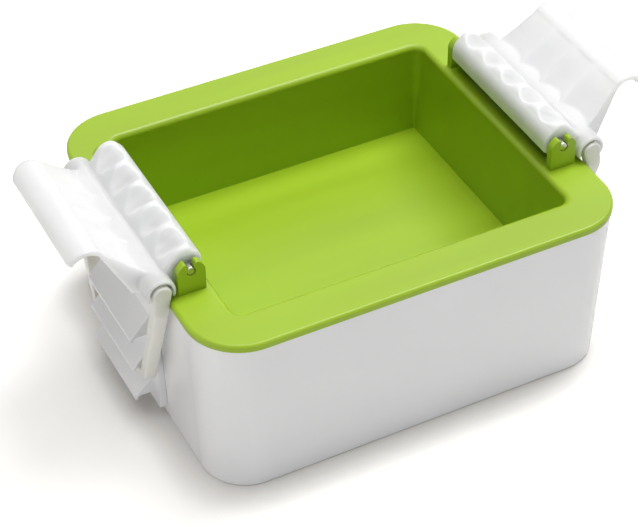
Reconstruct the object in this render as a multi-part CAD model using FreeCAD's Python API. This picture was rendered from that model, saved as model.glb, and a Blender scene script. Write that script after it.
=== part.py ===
"""Tofu press: an outer tub, a strainer tub inside it, a pressing lid with a deep well, and at each
short end a lever clip whose elastic band hooks under the catch ledges of the outer tub.

Millimetres. +Z is up, X runs along the tub and Y across it. The origin is the centre of the
outer tub's footprint, on the surface that the press stands on.
"""
import FreeCAD, Part
import math
import os

Vec = FreeCAD.Vector

# Outer tub, measured at its rim
tub_length = 154.2
tub_width = 133.0
tub_height = 62.45
tub_draft = 2.25          # how far each wall leans in from rim to base
tub_corner = 18.6
tub_wall = 2.4
tub_floor = 2.6
tub_base_round = 0.8
tub_rim_round = 0.8       # along the inside of the rim

# Lid plate
lid_overhang = 0.4
lid_plate = 2.6
lid_edge_round = 1.2
lid_seat_gap = 0.3

# Well of the lid, measured at its mouth
well_length = 123.4
well_width = 102.8
well_depth = 35.1
well_draft = 3.1          # how far each wall leans in from mouth to floor
well_corner = 4.0
well_wall = 2.2
well_floor = 2.2
well_mouth_round = 2.2

# Strainer tub
press_clearance = 0.6     # between the pressing plug and the strainer's wall
strainer_wall = 1.8
strainer_floor = 2.0
strainer_rim = 1.8
strainer_rim_gap = 3.0    # below the lid's plate
strainer_side_gap = 0.6   # between its rim and the outer tub's wall
strainer_foot_height = 6.0
strainer_foot_radius = 4.0
strainer_foot_inset = 14.0
drain_diameter = 4.0
drain_pitch = 13.0
drain_margin = 10.0

# Pins and the ears that hold them
pin_inset = 8.5           # from the lid's short edge to the pin's axis
pin_height = 8.4          # from the lid's top to the pin's axis
pin_diameter = 3.2
pin_end_inset = 0.3
pin_fit = 0.02            # radial, in the ear's snap seat
hinge_fit = 0.08          # radial, in the handle's bore
ear_width = 9.6
ear_thickness = 2.8
ear_span = 64.6           # between the two ears of one clip
ear_rise = 3.9            # from the pin's axis to the top of the ear's arch
ear_mouth = 2.5           # opening that the pin snaps through
ear_flare = 3.4
ear_tip_round = 0.8

# Handle: places are given as (out, up) from the pin's axis
ear_gap = 0.7
hood_back = 5.5
hood_skirt = 2.8
hood_cheek = (-4.5, 3.6)
hood_edge = (-2.7, 5.5)
hood_rise = (-1.3, 6.85)
hood_crest = (0.1, 7.2)
hood_fall = (2.4, 6.75)
hood_shoulder = (4.2, 5.4)
hood_foot_drop = 0.5      # below the top of the barrel, where the hood runs into it
hood_under = 5.6
hood_end_round = 1.0
hood_rib = 1.6            # between the cores that open below
hood_core = ((-3.8, 0.9), (-2.5, 2.7), (0.0, 2.7), (3.8, 0.6))
flute_count = 5
flute_pitch = 12.2
flute_inner_radius = 6.4
flute_outer_radius = 3.9

barrel_out = 10.8
barrel_drop = 4.4
barrel_radius = 5.1
barrel_length = 72.6
barrel_end_round = 1.0
tunnel_radius = 3.4
tunnel_slit = 1.5
mouth_radius = 4.0        # the tunnel's wider ends, open below for the band's legs
mouth_length = 5.2
stop_gap = 0.15           # between the lid's edge and the flat that rests on it

panel_foot = 12.0
panel_crease = (25.7, 11.5)
panel_heel = (17.8, -7.4)
panel_foot_width = 59.0
panel_width = 52.6
panel_skin = 1.8
panel_rib = 1.4
lip_radius = 6.8
lip_wall = 1.8
lip_start_angle = 135.0
lip_sweep = 120.0
lip_corner = 5.0
scoop_count = 4
scoop_pitch = 13.1
scoop_reach = 3.5
scoop_end_depth = 0.25
scoop_ridge = 0.4
cut_lead = 3.0            # how far a cutter starts before what it cuts

# Catch rack on each short wall
pad_proud = 0.9           # from the tub's rim out to the face of the pad
pad_width = 42.8
pad_bottom = 5.6
pad_top = 56.0
ledge_count = 3
ledge_pitch = 13.15
ledge_lowest = 10.2       # height of the lowest lip
ledge_reach = 7.5
ledge_width = 36.8
ledge_plate = 1.2
ledge_angle = 47.0
ledge_lip = 1.0
ledge_lip_drop = 0.4
ledge_cheek = 1.4
ledge_cheek_lift = 1.1

# Elastic band
band_width = 4.6          # out from the tub
band_thickness = 4.2      # of its legs and of the bar in the handle
band_hook_thickness = 2.6
band_round = 1.2
band_seat = (0.3, -0.6)   # the top bar's place in its tunnel, from the barrel's axis
band_hook_out = 3.0       # from the pad's face to the centre of the hooked bar
band_hook_drop = 0.35     # from the middle ledge's lip down to that centre
band_end_spare = 0.6      # past each end of the barrel
band_ledge_gap = 0.4      # between each leg and the end of a ledge
band_shoulder = 7.0       # length of each leg before it turns inwards
band_corner = 5.0

# Worked out from the sizes above
lid_length = tub_length + 2 * lid_overhang
lid_width = tub_width + 2 * lid_overhang
lid_bottom = tub_height + lid_seat_gap
lid_top = lid_bottom + lid_plate
pin_x = lid_length / 2 - pin_inset
pin_z = lid_top + pin_height
hood_length = ear_span - 2 * ear_gap
barrel_x = pin_x + barrel_out
barrel_z = pin_z - barrel_drop
level_z = barrel_z + barrel_radius
strainer_top = lid_bottom - strainer_rim_gap
strainer_base = tub_floor + strainer_foot_height
plug_bottom = lid_top - well_depth - well_floor
pad_face = tub_length / 2 + pad_proud
hook_x = pad_face + band_hook_out
hook_z = ledge_lowest + (ledge_count - 1) / 2 * ledge_pitch - band_hook_drop
band_top_width = barrel_length + 2 * band_end_spare
band_hook_width = ledge_width + 2 * (band_thickness + band_ledge_gap)


def tub_lean(z):
    """How far the outer tub's wall has come in, at height z, from its place at the rim."""
    return tub_draft * (tub_height - z) / tub_height


def well_lean(z):
    """How far the well's wall has come in, at height z, from its place at the mouth."""
    return well_draft * (lid_top - z) / well_depth


def rounded_wire(corners, radii):
    """Closed wire through points in one plane, each corner rounded by its own radius."""
    rounds = []
    for i, corner in enumerate(corners):
        before = (corners[i - 1] - corner).normalize()
        after = (corners[(i + 1) % len(corners)] - corner).normalize()
        half = before.getAngle(after) / 2
        reach = radii[i] / math.tan(half)
        inward = (before + after).normalize() * (radii[i] / math.sin(half) - radii[i])
        rounds.append((corner + before * reach, corner + inward, corner + after * reach))
    outline = []
    for i, (first, middle, last) in enumerate(rounds):
        if radii[i] > 0:
            outline.append(Part.Arc(first, middle, last).toShape())
        following = rounds[(i + 1) % len(corners)][0]
        if (following - last).Length > 1e-6:
            outline.append(Part.LineSegment(last, following).toShape())
    return Part.Wire(Part.__sortEdges__(outline))


def rectangle_wire(length, width, corner, z):
    """Rounded rectangle, centred on the Z axis."""
    x, y = length / 2, width / 2
    points = [Vec(-x, -y, z), Vec(x, -y, z), Vec(x, y, z), Vec(-x, y, z)]
    return rounded_wire(points, [corner] * 4)


def tapered_block(length, width, corner, lean, low, high):
    """Rounded block between two heights whose walls lean in by lean(z)."""
    rings = []
    for z in (low, high):
        inset = lean(z)
        rings.append(rectangle_wire(length - 2 * inset, width - 2 * inset, corner - inset, z))
    return Part.makeLoft(rings, True, True)


def plate(length, width, corner, low, high):
    """Rounded block with upright walls."""
    return Part.Face(rectangle_wire(length, width, corner, low)).extrude(Vec(0, 0, high - low))


def box(x, y, z):
    """Box from three (low, high) pairs."""
    size = [pair[1] - pair[0] for pair in (x, y, z)]
    return Part.makeBox(*size, Vec(x[0], y[0], z[0]))


def extruded(steps, width):
    """Solid across the press from an outline of (x, z) points; a step of two points is an arc."""
    y = -width / 2
    here = start = Vec(steps[0][0][0], y, steps[0][0][1])
    edges = []
    for step in steps[1:]:
        points = [Vec(x, y, z) for x, z in step]
        if len(points) == 1:
            edges.append(Part.LineSegment(here, points[0]).toShape())
        else:
            edges.append(Part.Arc(here, points[0], points[1]).toShape())
        here = points[-1]
    if here != start:
        edges.append(Part.LineSegment(here, start).toShape())
    return Part.Face(Part.Wire(edges)).extrude(Vec(0, width, 0))


def rod(radius, x, z, width, y=0.0):
    """Cylinder across the press, centred at y."""
    return Part.makeCylinder(radius, width, Vec(x, y - width / 2, z), Vec(0, 1, 0))


def level_edges(shape, z, length=1000.0, width=1000.0):
    """Edges that lie at height z, within a rectangle round the Z axis."""
    found = []
    for edge in shape.Edges:
        bounds = edge.BoundBox
        level = abs(bounds.ZMin - z) < 0.01 and abs(bounds.ZMax - z) < 0.01
        if level and bounds.XMax < length / 2 and bounds.YMax < width / 2:
            if bounds.XMin > -length / 2 and bounds.YMin > -width / 2:
                found.append(edge)
    return found


def other_side(shape):
    """The same shape at the opposite short end."""
    return shape.rotated(Vec(0, 0, 0), Vec(0, 0, 1), 180)


def from_pin(out, up):
    return (pin_x + out, pin_z + up)


def make_outer_tub():
    body = tapered_block(tub_length, tub_width, tub_corner, tub_lean, 0, tub_height)
    body = body.makeFillet(tub_base_round, level_edges(body, 0))
    hollow = tapered_block(tub_length - 2 * tub_wall, tub_width - 2 * tub_wall, tub_corner - tub_wall,
                           tub_lean, tub_floor, tub_height)
    tub = body.cut(hollow)
    rim = level_edges(tub, tub_height, tub_length - tub_wall, tub_width - tub_wall)
    return tub.makeFillet(tub_rim_round, rim)


def ledge(lip_z):
    """One catch ledge: a sloping plate, a lip at its outer edge and a cheek at each end."""
    slope = math.tan(math.radians(ledge_angle))
    drop = ledge_plate / math.cos(math.radians(ledge_angle))
    tip = pad_face + ledge_reach
    lip_back = tip - ledge_lip
    crest = lip_z + ledge_lip
    root = crest + ledge_reach * slope
    under = crest + ledge_lip * slope - drop
    sloping = extruded([[(pad_face, root)], [(tip, crest)], [(tip, lip_z - ledge_lip_drop)],
                        [(lip_back, lip_z - ledge_lip_drop)], [(lip_back, under)],
                        [(pad_face, root - drop)]], ledge_width)
    cheek_z = lip_z + ledge_cheek_lift
    cheek = extruded([[(pad_face, root - drop / 2)], [(lip_back, under + drop / 2)],
                      [(lip_back, cheek_z)], [(pad_face, cheek_z)]], ledge_cheek)
    shift = (ledge_width - ledge_cheek) / 2
    return sloping.fuse([cheek.translated(Vec(0, side * shift, 0)) for side in (-1, 1)])


def make_catch_rack():
    def wall(z):
        return tub_length / 2 - tub_lean(z)
    pad = extruded([[(wall(pad_bottom), pad_bottom)], [(pad_face, pad_bottom)], [(pad_face, pad_top)],
                    [(wall(pad_top), pad_top)]], pad_width)
    ledges = [ledge(ledge_lowest + i * ledge_pitch) for i in range(ledge_count)]
    return pad.fuse(ledges).removeSplitter()


def make_strainer():
    """Inner tub: the plug's own shape with a clearance, a drained floor, a rim and four feet."""
    inner_gap = well_wall + press_clearance
    outer_gap = inner_gap + strainer_wall
    floor_z = strainer_base + strainer_floor
    body = tapered_block(well_length + 2 * outer_gap, well_width + 2 * outer_gap, well_corner + outer_gap,
                         well_lean, strainer_base, strainer_top)
    rim_gap = tub_wall + strainer_side_gap + tub_lean(strainer_top - strainer_rim)
    rim = plate(tub_length - 2 * rim_gap, tub_width - 2 * rim_gap, tub_corner - rim_gap,
                strainer_top - strainer_rim, strainer_top)
    hollow = tapered_block(well_length + 2 * inner_gap, well_width + 2 * inner_gap, well_corner + inner_gap,
                           well_lean, floor_z, strainer_top + 1)
    inset = well_lean(floor_z)
    floor_length = well_length + 2 * (inner_gap - inset)
    floor_width = well_width + 2 * (inner_gap - inset)
    feet = []
    for x in (-1, 1):
        for y in (-1, 1):
            place = Vec(x * (floor_length / 2 - strainer_foot_inset),
                        y * (floor_width / 2 - strainer_foot_inset), tub_floor)
            feet.append(Part.makeCylinder(strainer_foot_radius, strainer_foot_height, place))
    drains = drain_holes(floor_length, floor_width, floor_z)
    return body.fuse(rim).cut(hollow).cut(drains).fuse(feet).removeSplitter()


def drain_holes(floor_length, floor_width, floor_z):
    """Grid of round holes, set between the four feet."""
    columns = int((floor_length - 2 * drain_margin) / drain_pitch)
    rows = int((floor_width - 2 * drain_margin) / drain_pitch)
    clear = strainer_foot_radius + drain_diameter
    foot = (floor_length / 2 - strainer_foot_inset, floor_width / 2 - strainer_foot_inset)
    holes = []
    for i in range(columns):
        for j in range(rows):
            x = (i - (columns - 1) / 2) * drain_pitch
            y = (j - (rows - 1) / 2) * drain_pitch
            if math.hypot(abs(x) - foot[0], abs(y) - foot[1]) > clear:
                holes.append(Part.makeCylinder(drain_diameter / 2, strainer_floor + 2,
                                               Vec(x, y, floor_z - strainer_floor - 1)))
    return Part.makeCompound(holes)


def make_ears():
    """The two ears of one clip, each with a seat that the pin snaps into from above."""
    half, top = ear_width / 2, pin_z + ear_rise
    ear = extruded([[(pin_x - half, lid_bottom)], [(pin_x + half, lid_bottom)], [(pin_x + half, pin_z)],
                    [(pin_x, top), (pin_x - half, pin_z)]], ear_thickness)
    mouth = extruded([[(pin_x - ear_mouth / 2, pin_z)], [(pin_x + ear_mouth / 2, pin_z)],
                      [(pin_x + ear_mouth / 2, (pin_z + top) / 2)], [(pin_x + ear_flare / 2, top)],
                      [(pin_x - ear_flare / 2, top)], [(pin_x - ear_mouth / 2, (pin_z + top) / 2)]],
                     ear_thickness)
    ear = ear.cut(mouth)
    tips = [edge for edge in ear.Edges
            if edge.BoundBox.ZMin > top - ear_rise / 4 and edge.BoundBox.ZLength < 0.01]
    ear = ear.makeFillet(ear_tip_round, tips)
    ear = ear.cut(rod(pin_diameter / 2 + pin_fit, pin_x, pin_z, ear_thickness))
    shift = (ear_span + ear_thickness) / 2
    return [ear.translated(Vec(0, side * shift, 0)) for side in (-1, 1)]


def make_lid():
    top = plate(lid_length, lid_width, tub_corner + lid_overhang, lid_bottom, lid_top)
    top = top.makeFillet(lid_edge_round, level_edges(top, lid_top))
    plug = tapered_block(well_length + 2 * well_wall, well_width + 2 * well_wall, well_corner + well_wall,
                         well_lean, plug_bottom, lid_bottom)
    body = top.fuse(plug)
    well = tapered_block(well_length, well_width, well_corner, well_lean, lid_top - well_depth, lid_top)
    body = body.cut(well)
    mouth = level_edges(body, lid_top, well_length + 1, well_width + 1)
    body = body.makeFillet(well_mouth_round, mouth)
    ears = make_ears()
    return body.fuse(ears + [other_side(ear) for ear in ears]).removeSplitter()


def make_pin():
    return rod(pin_diameter / 2, pin_x, pin_z, ear_span + 2 * (ear_thickness - pin_end_inset))


def make_hood():
    """Arched hood over the pin, cored from below between its ribs."""
    outline = [[from_pin(-hood_back, -hood_skirt)], [from_pin(-hood_back, 0)],
               [from_pin(*hood_cheek), from_pin(*hood_edge)],
               [from_pin(*hood_rise), from_pin(*hood_crest)],
               [from_pin(*hood_fall), from_pin(*hood_shoulder)],
               [(barrel_x - barrel_radius / 2, level_z - hood_foot_drop)],
               [(barrel_x - barrel_radius / 2, barrel_z)],
               [from_pin(hood_back, -hood_under)],
               [from_pin(0, -hood_under), from_pin(-hood_back, -hood_skirt)]]
    hood = extruded(outline, hood_length)
    ends = [edge for edge in hood.Edges
            if edge.BoundBox.YLength < 0.01 and edge.BoundBox.ZMin > pin_z - 0.01]
    hood = hood.makeFillet(hood_end_round, ends)
    low = -hood_under - 1
    core = extruded([[from_pin(hood_core[0][0], low)]] + [[from_pin(*spot)] for spot in hood_core]
                    + [[from_pin(hood_core[-1][0], low)]], flute_pitch - hood_rib)
    middle = (flute_count - 1) / 2
    return hood.cut([core.translated(Vec(0, (i - middle) * flute_pitch, 0)) for i in range(flute_count)])


def make_flutes():
    """Thumb flutes across the hood: cones whose lowest line is the floor of the flute."""
    start = Vec(pin_x + hood_edge[0], 0, pin_z + hood_edge[1])
    end = Vec(barrel_x - barrel_radius / 2, 0, level_z)
    run = (end - start).normalize()
    up = Vec(-run.z, 0, run.x)
    first, last = start + up * flute_inner_radius, end + up * flute_outer_radius
    axis = last - first
    taper = (flute_outer_radius - flute_inner_radius) / axis.Length
    cone = Part.makeCone(flute_inner_radius - taper * cut_lead, flute_outer_radius, axis.Length + cut_lead,
                         first - axis.normalize() * cut_lead, axis)
    middle = (flute_count - 1) / 2
    return [cone.translated(Vec(0, (i - middle) * flute_pitch, 0)) for i in range(flute_count)]


def panel_plan(inset):
    """Tall block with the panel's shape as seen from above, drawn in by the inset."""
    crease_x = pin_x + panel_crease[0]
    foot, half = panel_foot_width / 2 - inset, panel_width / 2 - inset
    tip = crease_x + (1 - math.cos(math.radians(lip_start_angle))) * lip_radius + 0.01 - inset
    corners = [(barrel_x - 2, -foot), (pin_x + panel_foot, -foot), (crease_x, -half), (tip, -half),
               (tip, half), (crease_x, half), (pin_x + panel_foot, foot), (barrel_x - 2, foot)]
    points = [Vec(x, y, lid_bottom) for x, y in corners]
    turn = lip_corner - inset
    plan = rounded_wire(points, [0, 0, 0, turn, turn, 0, 0, 0])
    return Part.Face(plan).extrude(Vec(0, 0, 2 * (pin_z + panel_crease[1] - lid_bottom)))


def make_panel():
    """Thumb panel and its rolled lip: a skin on ribs, with a flange along each side, open below."""
    crease = Vec(pin_x + panel_crease[0], 0, pin_z + panel_crease[1])
    start = math.radians(lip_start_angle)
    centre = crease - Vec(math.cos(start), 0, math.sin(start)) * lip_radius

    def on_lip(radius, share):
        angle = start - math.radians(lip_sweep) * share
        return (centre.x + radius * math.cos(angle), centre.z + radius * math.sin(angle))
    inner = lip_radius - lip_wall
    outline = [[(barrel_x - 1, level_z)], [(pin_x + panel_foot, level_z)], [(crease.x, crease.z)],
               [on_lip(lip_radius, 0.5), on_lip(lip_radius, 1)], [on_lip(inner, 1)],
               [on_lip(inner, 0.5), on_lip(inner, 0)], [from_pin(*panel_heel)],
               [(barrel_x + 1, barrel_z - barrel_radius + 1)], [(barrel_x - 1, barrel_z)]]
    solid = extruded(outline, panel_foot_width).common(panel_plan(0))
    slope = (crease.z - level_z) / (crease.x - pin_x - panel_foot)
    drop = (scoop_reach * slope + panel_skin) * math.hypot(1, slope)
    near = barrel_x + barrel_radius
    near_z = level_z + (near - pin_x - panel_foot) * slope - drop
    hollow = extruded([[(near, lid_bottom)], [(near, near_z)], [on_lip(inner, 0)],
                       [(centre.x, lid_bottom)]], panel_foot_width).common(panel_plan(lip_wall))
    ribs = [box((barrel_x, centre.x), (y - panel_rib / 2, y + panel_rib / 2), (lid_bottom, crease.z))
            for y in [(i + 1 - scoop_count / 2) * scoop_pitch for i in range(scoop_count - 1)]]
    return solid.cut(hollow.cut(ribs))


def make_scoops():
    """Shallow scoops side by side on the panel, deepest at its foot and fading at the crease."""
    crease = Vec(pin_x + panel_crease[0], 0, pin_z + panel_crease[1])
    foot = Vec(pin_x + panel_foot, 0, level_z)
    run = (crease - foot).normalize()
    up = Vec(-run.z, 0, run.x)
    foot_depth = scoop_reach * run.z

    def section(place, depth, low, high):
        """Closed outline across the panel: an arc below, and a straight cap above it."""
        def at(y, lift):
            return place + Vec(0, y, 0) + up * lift
        cap = scoop_reach
        edges = [Part.Arc(at(low, 0), at((low + high) / 2, -depth), at(high, 0)).toShape(),
                 Part.LineSegment(at(high, 0), at(high, cap)).toShape(),
                 Part.LineSegment(at(high, cap), at(low, cap)).toShape(),
                 Part.LineSegment(at(low, cap), at(low, 0)).toShape()]
        return Part.Wire(edges)
    rise = (foot_depth - scoop_end_depth) / (crease - foot).Length
    below = box((pin_x, crease.x), (-panel_foot_width, panel_foot_width), (lid_bottom, level_z))
    cutters = []
    for i in range(scoop_count):
        low = (i - scoop_count / 2) * scoop_pitch + scoop_ridge / 2
        high = low + scoop_pitch - scoop_ridge
        if i == 0:
            low -= panel_foot_width / 2 - panel_width / 2 + 1
        if i == scoop_count - 1:
            high += panel_foot_width / 2 - panel_width / 2 + 1
        lower = section(foot - run * cut_lead, foot_depth + rise * cut_lead, low, high)
        upper = section(crease, scoop_end_depth, low, high)
        cutters.append(Part.makeLoft([lower, upper], True, True).cut(below))
    return cutters


def make_handle():
    barrel = rod(barrel_radius, barrel_x, barrel_z, barrel_length)
    rims = [edge for edge in barrel.Edges if edge.BoundBox.YLength < 0.01]
    barrel = barrel.makeFillet(barrel_end_round, rims)
    body = make_hood().fuse([barrel, make_panel()])
    reach = barrel_length / 2 + 1
    low = barrel_z - 2 * barrel_radius
    slit = box((barrel_x - tunnel_slit / 2, barrel_x + tunnel_slit / 2), (-reach, reach), (low, barrel_z))
    cutters = [rod(tunnel_radius, barrel_x, barrel_z, 2 * reach),
               slit.rotated(Vec(barrel_x, 0, barrel_z), Vec(0, 1, 0), 45),
               rod(pin_diameter / 2 + hinge_fit, pin_x, pin_z, hood_length + 2),
               box((pin_x, lid_length / 2 + stop_gap), (-reach, reach), (low, lid_top + stop_gap))]
    for side in (-1, 1):
        start, stop = sorted((side * reach, side * (barrel_length / 2 - mouth_length)))
        cutters.append(rod(mouth_radius, barrel_x, barrel_z, stop - start, (start + stop) / 2))
        across = (barrel_x - mouth_radius, barrel_x + mouth_radius)
        cutters.append(box(across, (start, stop), (low, barrel_z)))
    return body.cut(cutters + make_flutes() + make_scoops()).removeSplitter()


def make_band():
    """Moulded elastic loop: bar in the handle's tunnel, two legs, and the bar that is hooked."""
    top = Vec(barrel_x + band_seat[0], 0, barrel_z + band_seat[1])
    hook = Vec(hook_x, 0, hook_z)
    down = (hook - top).normalize()
    out = Vec(-down.z, 0, down.x)
    start, stop = -band_thickness / 2, (hook - top).Length + band_hook_thickness / 2
    slant = (band_top_width - band_hook_width) / 2 / (stop - band_shoulder)

    def loop(inset, hook_inset):
        """Outline of the loop in its own plane, drawn in from its outer edge."""
        ease = inset * (math.hypot(1, slant) - slant)
        spots = [(band_top_width / 2 - inset, start + inset),
                 (band_top_width / 2 - inset, band_shoulder - inset * slant / 2),
                 (band_hook_width / 2 - ease, stop - hook_inset)]
        ring = [top + Vec(0, y, 0) + down * s for y, s in spots]
        ring += [top + Vec(0, -y, 0) + down * s for y, s in reversed(spots)]
        turn = max(band_corner - inset, 1.0)
        bend = 2 * band_corner
        wire = rounded_wire(ring, [turn, bend, turn, turn, bend, turn])
        return Part.Face(wire).extrude(out * band_width).translated(out * (-band_width / 2))
    ring = loop(0, 0).cut(loop(band_thickness, band_hook_thickness))
    long_edges = [edge for edge in ring.Edges if abs(edge.tangentAt(edge.FirstParameter).dot(out)) < 0.5]
    return ring.makeFillet(band_round, long_edges)


def main():
    os.makedirs("parts", exist_ok=True)
    pieces = {
        "outer_tub": make_outer_tub(),
        "strainer_tub": make_strainer(),
        "lid": make_lid(),
    }
    for name, build in (("catch_rack", make_catch_rack), ("handle", make_handle),
                        ("hinge_pin", make_pin), ("band", make_band)):
        piece = build()
        pieces[name + "_right"] = piece
        pieces[name + "_left"] = other_side(piece)
    for name, shape in pieces.items():
        print(name, shape.ShapeType, len(shape.Solids), shape.isValid(), round(shape.Volume))
        shape.exportStep("parts/" + name + ".step")


if __name__ == "__main__":
    main()
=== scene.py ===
"""Tofu press on a white table: finishes, elastic bands, table, lights and camera round the fixed frame.

Everything is in metres in the frame's own axes: +Z up, X along the tub, the camera in front of -Y.
"""

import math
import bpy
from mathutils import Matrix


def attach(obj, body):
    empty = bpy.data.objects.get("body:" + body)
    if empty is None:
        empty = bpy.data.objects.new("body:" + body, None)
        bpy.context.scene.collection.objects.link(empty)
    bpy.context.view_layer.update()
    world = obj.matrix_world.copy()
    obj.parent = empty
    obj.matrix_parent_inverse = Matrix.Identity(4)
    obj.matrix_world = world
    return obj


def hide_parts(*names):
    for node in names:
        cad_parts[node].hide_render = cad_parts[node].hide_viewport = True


bl_info = {
    "name": "Tofu press",
    "version": (1, 0, 0),
    "blender": (4, 5, 0),
    "location": "View3D > Sidebar > Tofu press",
    "description": "Dresses the tofu press's frame with its finishes, bands, table, lights and camera",
    "category": "Object",
}

import bpy
from mathutils import Matrix, Vector

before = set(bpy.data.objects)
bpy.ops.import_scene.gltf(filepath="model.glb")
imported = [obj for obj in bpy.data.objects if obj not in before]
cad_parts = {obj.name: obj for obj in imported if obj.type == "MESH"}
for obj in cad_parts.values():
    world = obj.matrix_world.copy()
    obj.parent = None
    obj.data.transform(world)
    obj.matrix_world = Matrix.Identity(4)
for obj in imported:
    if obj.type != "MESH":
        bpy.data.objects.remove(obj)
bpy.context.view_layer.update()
SIDES = ("right", "left")
MM = 0.001

# Edges: remeshed and smoothed on the handles and bands; on the racks and pins, faces that are flat
# within FLAT_WITHIN are merged and edges sharper than BEVEL_OVER are bevelled
MERGE_DISTANCE = 0.001 * MM
SMOOTH_FACTOR = 0.5
HANDLE_SMOOTHING = 5
BAND_SMOOTHING = 8
FLAT_WITHIN = math.radians(0.5)
BEVEL_OVER = math.radians(25)
BEVEL_SEGMENTS = 3
SHADE_SMOOTH_UNDER = math.radians(35)

# Moulded skin: the scale, in waves to the metre, and the detail of each noise
CLOUDS = (28, 2)
# Flow streaks vary the roughness and paint faint sheen streaks into the colour
FLOW_AND_SHEEN_STREAKS = (60, 1.5)
SCUFF_MARKS = (160, 5)
FINE_GRAIN = (900, 2)
NOISE_MIDDLE = 0.5
DRAWN_OUT_ALONG_X = (0.12, 1.0, 1.0)
GRAIN_HEIGHT = 0.02 * MM

# Constant shader values of each finish
SHELL_SHADING = {"Coat Weight": 0.3, "Coat Roughness": 0.08}
LID_SHADING = {"Specular IOR Level": 0.52}
HANDLE_SHADING = {"Subsurface Weight": 1.0, "Subsurface Radius": (1.0, 1.0, 1.0),
                  "Subsurface Scale": 7 * MM}
PIN_SHADING = {"Metallic": 1.0}
BAND_SHADING = {"Subsurface Weight": 0.8, "Subsurface Radius": (1.0, 0.95, 0.8),
                "Subsurface Scale": 3 * MM, "Transmission Weight": 0.15, "IOR": 1.41}

# Bands: the faces of a leg's head whose normals' Z is below DRAWN_BELOW are drawn out into the leg
BAR_SIDES = 48
HEAD_SIDES = 32
DRAWN_BELOW = -0.25
BAR_SHORTER = 1 * MM

# Table: its glow grows with the distance from the middle, and a painted contact shadow darkens it right
# beside the press
TABLE_SIZE = 8.0
TABLE_ROUGHNESS = 0.9
GLOW_BY_DISTANCE = {"From Min": 0.35, "From Max": 1.3, "To Min": 0.44, "To Max": 1.1}
CONTACT_SAMPLES = 12
CONTACT_REACH = 15 * MM
CONTACT_POWER = 3.0
# Colour of the painted contact shadow
CONTACT_SHADOW_COLOUR = (0.03, 0.015, 0.0, 1)
OPEN_COLOUR = (1.0, 0.97, 0.93, 1)

# Lamps: name, place, aim, width and height, power in watts, tint
LAMPS = (
    ("key_light", (0.44, 0.13, 1.15), (0, 0, 0.03), (0.46, 0.74), 11.8, (1.0, 1.0, 1.0)),
    ("top_card", (-0.18, -0.06, 1.18), (0, 0, 0.03), (0.90, 0.80), 5.7, (1.0, 1.0, 1.0)),
    ("back_card", (0.42, 0.80, 0.80), (0, 0, 0.05), (1.1, 0.60), 1.2, (1.0, 1.0, 1.0)),
    ("front_card", (0.28, -0.68, 0.032), (0, 0, 0.032), (1.4, 0.06), 1.30, (0.96, 0.98, 1.0)),
    ("left_card", (-0.70, -0.06, 0.032), (0, 0, 0.032), (1.3, 0.06), 1.9, (1.0, 0.985, 0.975)),
)

# World: a faint room that lights the press, and the white that is seen and reflected
ROOM_COLOUR = (0.96, 0.98, 1.0, 1)
ROOM_STRENGTH = 0.025
WHITE_COLOUR = (1, 1, 1, 1)
WHITE_STRENGTH = 1.0

# Camera
SENSOR_WIDTH_MM = 36
CLIP_START = 0.02


def node_object(name):
    """The frame's own object for one node."""
    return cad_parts[name]


# Finishes


def new_material(name):
    """A node material with a Principled shader alone; returns it, the shader and its output node."""
    material = bpy.data.materials.new(name)
    material.use_nodes = True
    tree = material.node_tree
    tree.nodes.clear()
    shader = tree.nodes.new("ShaderNodeBsdfPrincipled")
    output = tree.nodes.new("ShaderNodeOutputMaterial")
    tree.links.new(shader.outputs["BSDF"], output.inputs["Surface"])
    return material, shader, output


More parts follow.
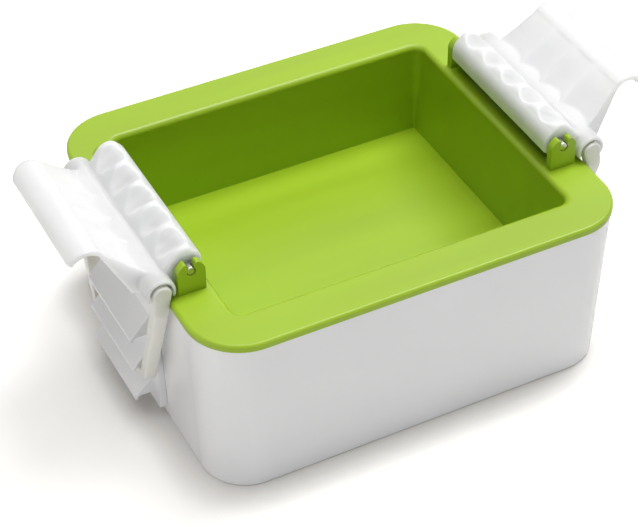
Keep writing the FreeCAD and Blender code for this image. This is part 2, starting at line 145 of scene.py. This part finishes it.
def moulded_skin():
    """Shared effect: colour drift, scuffs and fine grain of injection-moulded plastic, and streaks
    along X that vary the roughness as flow marks do and paint faint sheen streaks into the colour.
    """
    group = bpy.data.node_groups.new("moulded_skin", "ShaderNodeTree")
    sockets = group.interface
    for name, kind, default in (("Colour", "NodeSocketColor", (0.8, 0.8, 0.8, 1)),
                                ("Drift", "NodeSocketFloat", 0.04),
                                ("Gloss", "NodeSocketFloat", 0.25),
                                ("Scuff", "NodeSocketFloat", 0.08),
                                ("Flow_and_sheen", "NodeSocketFloat", 0.05),
                                ("Relief", "NodeSocketFloat", 0.1)):
        socket = sockets.new_socket(name=name, in_out="INPUT", socket_type=kind)
        socket.default_value = default
    for name, kind in (("Colour", "NodeSocketColor"), ("Roughness", "NodeSocketFloat"),
                       ("Normal", "NodeSocketVector")):
        sockets.new_socket(name=name, in_out="OUTPUT", socket_type=kind)
    nodes, links = group.nodes, group.links
    given = nodes.new("NodeGroupInput")
    result = nodes.new("NodeGroupOutput")
    place = nodes.new("ShaderNodeTexCoord")
    drawn = nodes.new("ShaderNodeMapping")
    drawn.inputs["Scale"].default_value = DRAWN_OUT_ALONG_X
    links.new(place.outputs["Object"], drawn.inputs["Vector"])

    def noise(scale, detail, source=place.outputs["Object"]):
        node = nodes.new("ShaderNodeTexNoise")
        node.inputs["Scale"].default_value = scale
        node.inputs["Detail"].default_value = detail
        links.new(source, node.inputs["Vector"])
        return node.outputs["Fac"]

    def math_node(operation, first, second):
        node = nodes.new("ShaderNodeMath")
        node.operation = operation
        for socket, value in zip(node.inputs, (first, second)):
            if isinstance(value, (int, float)):
                socket.default_value = value
            else:
                links.new(value, socket)
        return node.outputs["Value"]

    def about_zero(field):
        return math_node("SUBTRACT", field, NOISE_MIDDLE)

    cloudy = math_node("MULTIPLY", about_zero(noise(*CLOUDS)), given.outputs["Drift"])
    # Flow streaks: they vary the roughness, and in the colour's value they are painted sheen streaks
    flow_and_sheen_streaks = about_zero(noise(*FLOW_AND_SHEEN_STREAKS, drawn.outputs["Vector"]))
    flow_and_sheen_streaks = math_node("MULTIPLY", flow_and_sheen_streaks, given.outputs["Flow_and_sheen"])
    shade = nodes.new("ShaderNodeHueSaturation")
    links.new(given.outputs["Colour"], shade.inputs["Color"])
    links.new(math_node("ADD", math_node("ADD", cloudy, 1.0), flow_and_sheen_streaks), shade.inputs["Value"])
    links.new(shade.outputs["Color"], result.inputs["Colour"])
    scuffs = math_node("MULTIPLY", about_zero(noise(*SCUFF_MARKS)), given.outputs["Scuff"])
    gloss = math_node("ADD", scuffs, given.outputs["Gloss"])
    links.new(math_node("ADD", gloss, flow_and_sheen_streaks), result.inputs["Roughness"])
    bump = nodes.new("ShaderNodeBump")
    bump.inputs["Distance"].default_value = GRAIN_HEIGHT
    links.new(noise(*FINE_GRAIN), bump.inputs["Height"])
    links.new(given.outputs["Relief"], bump.inputs["Strength"])
    links.new(bump.outputs["Normal"], result.inputs["Normal"])
    return group


def surface(name, colour, gloss, drift=0.04, scuff=0.03, relief=0.12, flow_and_sheen=0.03, shading=None):
    """A finish: the shared skin gives its colour, roughness and normal, and shading the rest."""
    material, shader, _ = new_material(name)
    tree = material.node_tree
    skin = tree.nodes.new("ShaderNodeGroup")
    skin.node_tree = bpy.data.node_groups.get("moulded_skin") or moulded_skin()
    for socket, value in (("Colour", (*colour, 1)), ("Gloss", gloss), ("Drift", drift),
                          ("Scuff", scuff), ("Relief", relief), ("Flow_and_sheen", flow_and_sheen)):
        skin.inputs[socket].default_value = value
    for source, target in (("Colour", "Base Color"), ("Roughness", "Roughness"), ("Normal", "Normal")):
        tree.links.new(skin.outputs[source], shader.inputs[target])
    for socket, value in (shading or {}).items():
        shader.inputs[socket].default_value = value
    return material


def only(*objects):
    """Selects these objects and nothing else; makes the last one active and returns it."""
    bpy.ops.object.select_all(action="DESELECT")
    for item in objects:
        item.select_set(True)
        bpy.context.view_layer.objects.active = item
    return objects[-1]


def modify(piece, kind, **values):
    """Adds one modifier and applies it."""
    only(piece)
    modifier = piece.modifiers.new(kind.lower(), kind)
    for name, value in values.items():
        setattr(modifier, name, value)
    bpy.ops.object.modifier_apply(modifier=modifier.name)


def merged_copy(node, name):
    """A copy of a frame node as one closed mesh, for a piece that stands for it."""
    piece = bpy.data.objects.new(name, node_object(node).data.copy())
    bpy.context.scene.collection.objects.link(piece)
    only(piece)
    bpy.ops.object.mode_set(mode="EDIT")
    bpy.ops.mesh.select_all(action="SELECT")
    bpy.ops.mesh.remove_doubles(threshold=MERGE_DISTANCE)
    bpy.ops.object.mode_set(mode="OBJECT")
    return piece


def ease(piece, grain, passes):
    """Eases a piece's sharp edges as in a mould: remeshed finely, then smoothed."""
    modify(piece, "REMESH", mode="VOXEL", voxel_size=grain)
    modify(piece, "SMOOTH", factor=SMOOTH_FACTOR, iterations=passes)
    bpy.ops.object.shade_smooth()


def bevelled_copy(node, name, width):
    """A frame node's copy with its straight edges rounded."""
    piece = merged_copy(node, name)
    bpy.ops.object.mode_set(mode="EDIT")
    bpy.ops.mesh.select_all(action="SELECT")
    bpy.ops.mesh.dissolve_limited(angle_limit=FLAT_WITHIN)
    bpy.ops.object.mode_set(mode="OBJECT")
    modify(piece, "BEVEL", width=width, segments=BEVEL_SEGMENTS, limit_method="ANGLE",
           angle_limit=BEVEL_OVER)
    bpy.ops.object.shade_smooth_by_angle(angle=SHADE_SMOOTH_UNDER)
    return piece


def stands_for(piece, node, body, material):
    """Finishes a piece, hides the node that it stands for and lets it ride on that node's body."""
    piece.data.materials.clear()
    piece.data.materials.append(material)
    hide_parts(node)
    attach(piece, body)


def dress(node, material):
    """Gives a frame node one finish."""
    slots = node_object(node).data.materials
    slots.clear()
    slots.append(material)


# Settings


class FinishSettings(bpy.types.PropertyGroup):
    lid_colour: bpy.props.FloatVectorProperty(
        name="Lid", description="Lime green of the pressing lid", subtype="COLOR", size=3,
        min=0, max=1, default=(0.31, 0.472, 0.008))
    tub_colour: bpy.props.FloatVectorProperty(
        name="Tub", description="White of the tubs and catch racks", subtype="COLOR", size=3,
        min=0, max=1, default=(0.86, 0.86, 0.87))
    handle_colour: bpy.props.FloatVectorProperty(
        name="Handles", description="White of the lever handles", subtype="COLOR", size=3,
        min=0, max=1, default=(0.785, 0.785, 0.795))
    band_colour: bpy.props.FloatVectorProperty(
        name="Bands", description="Milky silicone of the elastic bands", subtype="COLOR", size=3,
        min=0, max=1, default=(0.90, 0.89, 0.83))
    pin_colour: bpy.props.FloatVectorProperty(
        name="Pins", description="Steel of the hinge pins", subtype="COLOR", size=3,
        min=0, max=1, default=(0.46, 0.46, 0.45))
    handle_grain: bpy.props.FloatProperty(
        name="Handle grain", description="Fineness of the handles' mesh", subtype="DISTANCE",
        default=0.38 * MM, min=0.3 * MM, max=1.0 * MM)
    rack_edge: bpy.props.FloatProperty(
        name="Rack edge", description="Rounding of the catch racks' edges", subtype="DISTANCE",
        default=0.3 * MM, min=0.05 * MM, max=0.5 * MM)
    pin_edge: bpy.props.FloatProperty(
        name="Pin edge", description="Rounding of the pins' ends", subtype="DISTANCE",
        default=0.35 * MM, min=0.05 * MM, max=0.8 * MM)


class BandSettings(bpy.types.PropertyGroup):
    bar_place: bpy.props.FloatVectorProperty(
        name="Bar place", description="Out and up from the tub's centre to the bar in the handle",
        size=2, subtype="TRANSLATION", default=(79.8 * MM, 69.35 * MM))
    bar_width: bpy.props.FloatProperty(
        name="Bar width", description="Across the bar in the handle's tunnel", subtype="DISTANCE",
        default=6.0 * MM)
    head_width: bpy.props.FloatProperty(
        name="Head width", description="Across the round head of a leg", subtype="DISTANCE",
        default=6.3 * MM)
    neck_width: bpy.props.FloatProperty(
        name="Neck width", description="Of a leg just below its head", subtype="DISTANCE",
        default=5.3 * MM)
    neck_place: bpy.props.FloatVectorProperty(
        name="Neck place", description="Out and up to the middle of a leg's neck", size=2,
        subtype="TRANSLATION", default=(80.75 * MM, 63.8 * MM))
    foot_place: bpy.props.FloatVectorProperty(
        name="Foot place", description="Out and up to the middle of a leg's foot", size=2,
        subtype="TRANSLATION", default=(81.0 * MM, 25.6 * MM))
    foot_width: bpy.props.FloatProperty(
        name="Foot width", description="Of a leg at the hooked bar", subtype="DISTANCE",
        default=4.6 * MM)
    leg_depth: bpy.props.FloatProperty(
        name="Leg depth", description="Of a leg along the press's short side", subtype="DISTANCE",
        default=3.8 * MM)
    top_width: bpy.props.FloatProperty(
        name="Top width", description="Of the whole loop at the handle", subtype="DISTANCE",
        default=74.2 * MM)
    hook_place: bpy.props.FloatVectorProperty(
        name="Hook place", description="Out and up from the tub's centre to the hooked bar", size=2,
        subtype="TRANSLATION", default=(81.0 * MM, 23.0 * MM))
    hook_width: bpy.props.FloatProperty(
        name="Hook width", description="Of the loop at the hooked bar", subtype="DISTANCE",
        default=46.4 * MM)
    hook_height: bpy.props.FloatProperty(
        name="Hook height", description="Of the hooked bar", subtype="DISTANCE", default=2.6 * MM)
    hook_depth: bpy.props.FloatProperty(
        name="Hook depth", description="Of the hooked bar, out from the tub", subtype="DISTANCE",
        default=4.5 * MM)
    grain: bpy.props.FloatProperty(
        name="Band grain", description="Fineness of the bands' mesh", subtype="DISTANCE",
        default=0.42 * MM, min=0.3 * MM, max=1.0 * MM)


class StageSettings(bpy.types.PropertyGroup):
    azimuth: bpy.props.FloatProperty(
        name="Azimuth", description="Camera's turn about the press; 0 looks along +Y",
        subtype="ANGLE", default=-0.466998)
    elevation: bpy.props.FloatProperty(
        name="Elevation", description="Camera's angle above the table", subtype="ANGLE",
        default=0.713068)
    roll: bpy.props.FloatProperty(
        name="Roll", description="Camera's turn about its own axis", subtype="ANGLE",
        default=-0.00975)
    distance: bpy.props.FloatProperty(
        name="Distance", description="From the camera to the point that it looks at",
        subtype="DISTANCE", default=0.721351)
    target: bpy.props.FloatVectorProperty(
        name="Target", description="Point that the camera looks at", subtype="TRANSLATION",
        default=(-0.004668, 0.002703, 0.022528))
    lens: bpy.props.FloatProperty(
        name="Lens", description="Focal length on a 36 mm sensor", subtype="DISTANCE_CAMERA",
        default=114.53)
    floor_colour: bpy.props.FloatVectorProperty(
        name="Table", description="Colour of the table and backdrop", subtype="COLOR", size=3,
        min=0, max=1, default=(0.82, 0.812, 0.79))


# Operators


class PRESS_OT_tub(bpy.types.Operator):
    """Finish the outer tub and the strainer tub"""
    bl_idname = "press.tub"
    bl_label = "Tubs"

    def execute(self, context):
        colour = context.scene.press_finish.tub_colour
        dress("outer_tub", surface("white_shell", colour, gloss=0.22, shading=SHELL_SHADING))
        dress("strainer_tub", surface("white_strainer", colour, gloss=0.32))
        return {"FINISHED"}


class PRESS_OT_lid(bpy.types.Operator):
    """Finish the pressing lid and its ears"""
    bl_idname = "press.lid"
    bl_label = "Pressing lid"

    def execute(self, context):
        colour = context.scene.press_finish.lid_colour
        # The lid's strong flow streaks vary its roughness and paint soft sheen streaks into its colour
        dress("lid", surface("lime_lid", colour, gloss=0.42, scuff=0.02, flow_and_sheen=0.30,
                             shading=LID_SHADING))
        return {"FINISHED"}


class PRESS_OT_racks(bpy.types.Operator):
    """Ease and finish the catch racks"""
    bl_idname = "press.racks"
    bl_label = "Catch racks"

    def execute(self, context):
        finish = context.scene.press_finish
        white = surface("white_rack", finish.tub_colour, gloss=0.30)
        for side in SIDES:
            piece = bevelled_copy("catch_rack_" + side, "soft_rack_" + side, finish.rack_edge)
            stands_for(piece, "catch_rack_" + side, "tub", white)
        return {"FINISHED"}


class PRESS_OT_handles(bpy.types.Operator):
    """Ease and finish the lever handles"""
    bl_idname = "press.handles"
    bl_label = "Lever handles"

    def execute(self, context):
        finish = context.scene.press_finish
        white = surface("white_handle", finish.handle_colour, gloss=0.38, shading=HANDLE_SHADING)
        for side in SIDES:
            piece = merged_copy("handle_" + side, "soft_handle_" + side)
            ease(piece, finish.handle_grain, HANDLE_SMOOTHING)
            stands_for(piece, "handle_" + side, "handle_" + side, white)
        return {"FINISHED"}


class PRESS_OT_pins(bpy.types.Operator):
    """Ease the ends of the hinge pins and give them their steel"""
    bl_idname = "press.pins"
    bl_label = "Hinge pins"

    def execute(self, context):
        finish = context.scene.press_finish
        steel = surface("pin_steel", finish.pin_colour, gloss=0.16, drift=0.02, scuff=0.1,
                        relief=0.1, shading=PIN_SHADING)
        for side in SIDES:
            piece = bevelled_copy("hinge_pin_" + side, "soft_pin_" + side, finish.pin_edge)
            stands_for(piece, "hinge_pin_" + side, "lid", steel)
        return {"FINISHED"}


class PRESS_OT_bands(bpy.types.Operator):
    """Mould the elastic bands: a bar in the handle, two legs with round heads, and the hooked bar"""
    bl_idname = "press.bands"
    bl_label = "Elastic bands"

    def execute(self, context):
        finish = context.scene.press_finish
        band = context.scene.press_band
        silicone = surface("band_silicone", finish.band_colour, gloss=0.34, shading=BAND_SHADING)
        for side, turn in zip(SIDES, (0, math.pi)):
            piece = self.loop(band, "soft_band_" + side)
            piece.data.transform(Matrix.Rotation(turn, 4, "Z"))
            stands_for(piece, "band_" + side, "band_" + side, silicone)
        return {"FINISHED"}

    def spot(self, place, y):
        """The point at a place given as out and up, this far along the press's short side."""
        return Vector((place[0], y, place[1]))

    def rod(self, radius, place, width, sides):
        """A round bar along the press's short side."""
        bpy.ops.mesh.primitive_cylinder_add(vertices=sides, radius=radius, depth=width,
                                            location=place, rotation=(math.pi / 2, 0, 0))
        return bpy.context.object

    def leg(self, band, side):
        """One leg: a round head at the barrel, drawn out downwards and in to the hooked bar."""
        top = side * (band.top_width - band.leg_depth) / 2
        head = self.spot(band.bar_place, top)
        neck = self.spot(band.neck_place, top)
        foot = self.spot(band.foot_place, side * (band.hook_width - band.leg_depth) / 2)
        piece = self.rod(band.head_width / 2, head, band.leg_depth, HEAD_SIDES)
        bpy.ops.object.transform_apply()
        bpy.ops.object.mode_set(mode="EDIT")
        bpy.ops.mesh.select_mode(type="FACE")
        bpy.ops.mesh.select_all(action="DESELECT")
        bpy.ops.object.mode_set(mode="OBJECT")
        for face in piece.data.polygons:
            face.select = face.normal.z < DRAWN_BELOW
        bpy.ops.object.mode_set(mode="EDIT")
        # The chosen faces span this chord of the round head.
        here, width = head, band.head_width * math.sqrt(1 - DRAWN_BELOW ** 2)
        for place, wanted in ((neck, band.neck_width), (foot, band.foot_width)):
            bpy.ops.mesh.extrude_region_move(TRANSFORM_OT_translate={"value": place - here})
            bpy.ops.transform.resize(value=(wanted / width, 1, 1), center_override=place)
            here, width = place, wanted
        bpy.ops.object.mode_set(mode="OBJECT")
        return piece

    def loop(self, band, name):
        """The whole band: both bars and both legs, joined and eased as one moulding."""
        bar = self.rod(band.bar_width / 2, self.spot(band.bar_place, 0),
                       band.top_width - BAR_SHORTER, BAR_SIDES)
        bpy.ops.mesh.primitive_cube_add(size=1, location=self.spot(band.hook_place, 0))
        hooked = bpy.context.object
        hooked.scale = (band.hook_depth, band.hook_width - BAR_SHORTER, band.hook_height)
        piece = only(bar, hooked, self.leg(band, 1), self.leg(band, -1))
        bpy.ops.object.join()
        bpy.ops.object.transform_apply()
        piece.name = name
        ease(piece, band.grain, BAND_SMOOTHING)
        return piece


class PRESS_OT_stage(bpy.types.Operator):
    """Add the table, the backdrop, the lights and the camera"""
    bl_idname = "press.stage"
    bl_label = "Table, lights and camera"

    def execute(self, context):
        settings = context.scene.press_stage
        self.table(settings)
        self.lights(context.scene)
        self.world(context.scene)
        self.camera(context.scene, settings)
        context.scene.view_settings.view_transform = "Standard"
        return {"FINISHED"}

    def table(self, settings):
        """A matt white plane with a glow that the camera alone sees, to fade it into the backdrop; the
        glow holds a painted contact shadow beside the press.
        """
        bpy.ops.object.select_all(action="DESELECT")
        bpy.ops.mesh.primitive_plane_add(size=TABLE_SIZE, location=(0, 0, 0))
        floor = bpy.context.object
        floor.name = "table_top"
        material, shader, output = new_material("white_table")
        shader.inputs["Base Color"].default_value = (*settings.floor_colour, 1)
        shader.inputs["Roughness"].default_value = TABLE_ROUGHNESS
        nodes, links = material.node_tree.nodes, material.node_tree.links
        glow = nodes.new("ShaderNodeEmission")
        self.set_glow_strength(nodes, links, glow)
        self.set_glow_colour(nodes, links, glow)
        seen = nodes.new("ShaderNodeLightPath")
        extra = nodes.new("ShaderNodeAddShader")
        mix = nodes.new("ShaderNodeMixShader")
        links.new(shader.outputs["BSDF"], extra.inputs[0])
        links.new(glow.outputs["Emission"], extra.inputs[1])
        links.new(seen.outputs["Is Camera Ray"], mix.inputs["Fac"])
        links.new(shader.outputs["BSDF"], mix.inputs[1])
        links.new(extra.outputs["Shader"], mix.inputs[2])
        links.new(mix.outputs["Shader"], output.inputs["Surface"])
        floor.data.materials.append(material)

    def set_glow_strength(self, nodes, links, glow):
        """Makes the glow stronger away from the press."""
        place = nodes.new("ShaderNodeTexCoord")
        reach = nodes.new("ShaderNodeVectorMath")
        reach.operation = "LENGTH"
        strength = nodes.new("ShaderNodeMapRange")
        for socket, value in GLOW_BY_DISTANCE.items():
            strength.inputs[socket].default_value = value
        links.new(place.outputs["Object"], reach.inputs[0])
        links.new(reach.outputs["Value"], strength.inputs["Value"])
        links.new(strength.outputs["Result"], glow.inputs["Strength"])

    def set_glow_colour(self, nodes, links, glow):
        """Paints a contact shadow: darkens the glow where the press hems the table in."""
        contact = nodes.new("ShaderNodeAmbientOcclusion")
        contact.samples = CONTACT_SAMPLES
        contact.inputs["Distance"].default_value = CONTACT_REACH
        deeper = nodes.new("ShaderNodeMath")
        deeper.operation = "POWER"
        deeper.inputs[1].default_value = CONTACT_POWER
        shaded = nodes.new("ShaderNodeMix")
        shaded.data_type = "RGBA"
        near, far = (socket for socket in shaded.inputs if socket.type == "RGBA")
        near.default_value = CONTACT_SHADOW_COLOUR
        far.default_value = OPEN_COLOUR
        result = next(socket for socket in shaded.outputs if socket.type == "RGBA")
        links.new(contact.outputs["AO"], deeper.inputs[0])
        links.new(deeper.outputs["Value"], shaded.inputs["Factor"])
        links.new(result, glow.inputs["Color"])

    def lights(self, scene):
        """A soft key over the right and back, two weaker lamps, and low cards at the front and left."""
        for name, place, aim, size, power, tint in LAMPS:
            lamp = bpy.data.lights.new(name, "AREA")
            lamp.shape = "RECTANGLE"
            lamp.size, lamp.size_y = size
            lamp.energy = power
            lamp.color = tint
            holder = bpy.data.objects.new(name, lamp)
            holder.location = place
            holder.visible_camera = False
            away = Vector(place) - Vector(aim)
            holder.rotation_euler = away.to_track_quat("Z", "Y").to_euler()
            scene.collection.objects.link(holder)

    def world(self, scene):
        """A faint room for diffuse light; the camera, reflections and clear pieces meet plain white."""
        world = bpy.data.worlds.new("white_room")
        world.use_nodes = True
        nodes, links = world.node_tree.nodes, world.node_tree.links
        nodes.clear()
        seen = nodes.new("ShaderNodeLightPath")
        rays = seen.outputs["Is Camera Ray"]
        for kind in ("Is Glossy Ray", "Is Transmission Ray"):
            most = nodes.new("ShaderNodeMath")
            most.operation = "MAXIMUM"
            links.new(rays, most.inputs[0])
            links.new(seen.outputs[kind], most.inputs[1])
            rays = most.outputs["Value"]
        mix = nodes.new("ShaderNodeMixShader")
        links.new(rays, mix.inputs["Fac"])
        for socket, colour, strength in ((mix.inputs[1], ROOM_COLOUR, ROOM_STRENGTH),
                                         (mix.inputs[2], WHITE_COLOUR, WHITE_STRENGTH)):
            ground = nodes.new("ShaderNodeBackground")
            ground.inputs["Color"].default_value = colour
            ground.inputs["Strength"].default_value = strength
            links.new(ground.outputs["Background"], socket)
        output = nodes.new("ShaderNodeOutputWorld")
        links.new(mix.outputs["Shader"], output.inputs["Surface"])
        scene.world = world

    def camera(self, scene, settings):
        """The photo's camera, turned and lifted about the point that it looks at."""
        turn, lift, roll = settings.azimuth, settings.elevation, settings.roll
        back = Vector((math.sin(turn) * math.cos(lift), -math.cos(turn) * math.cos(lift),
                       math.sin(lift)))
        right = Vector((math.cos(turn), math.sin(turn), 0))
        up = back.cross(right)
        across = right * math.cos(roll) + up * math.sin(roll)
        over = up * math.cos(roll) - right * math.sin(roll)
        data = bpy.data.cameras.new("photo_camera")
        data.sensor_width = SENSOR_WIDTH_MM
        data.lens = settings.lens
        data.clip_start = CLIP_START
        holder = bpy.data.objects.new("photo_camera", data)
        place = Matrix((across, over, back)).transposed().to_4x4()
        place.translation = Vector(settings.target) + back * settings.distance
        holder.matrix_world = place
        scene.collection.objects.link(holder)
        scene.camera = holder


STEPS = (PRESS_OT_tub, PRESS_OT_lid, PRESS_OT_racks, PRESS_OT_handles, PRESS_OT_pins, PRESS_OT_bands,
         PRESS_OT_stage)


class PRESS_PT_panel(bpy.types.Panel):
    """Sizes, colours and steps of the tofu press"""
    bl_idname = "PRESS_PT_panel"
    bl_label = "Tofu press"
    bl_space_type = "VIEW_3D"
    bl_region_type = "UI"
    bl_category = "Tofu press"

    def draw(self, context):
        scene = context.scene
        for settings in (scene.press_finish, scene.press_band, scene.press_stage):
            box = self.layout.box()
            for name in settings.__annotations__:
                box.prop(settings, name)
        for step in STEPS:
            self.layout.operator(step.bl_idname)


CLASSES = (FinishSettings, BandSettings, StageSettings) + STEPS + (PRESS_PT_panel,)


def register():
    for cls in CLASSES:
        bpy.utils.register_class(cls)
    bpy.types.Scene.press_finish = bpy.props.PointerProperty(type=FinishSettings)
    bpy.types.Scene.press_band = bpy.props.PointerProperty(type=BandSettings)
    bpy.types.Scene.press_stage = bpy.props.PointerProperty(type=StageSettings)


def unregister():
    del bpy.types.Scene.press_stage
    del bpy.types.Scene.press_band
    del bpy.types.Scene.press_finish
    for cls in reversed(CLASSES):
        bpy.utils.unregister_class(cls)


def main():
    register()
    for step in STEPS:
        group, name = step.bl_idname.split(".")
        getattr(getattr(bpy.ops, group), name)()


if __name__ == "__main__":
    main()
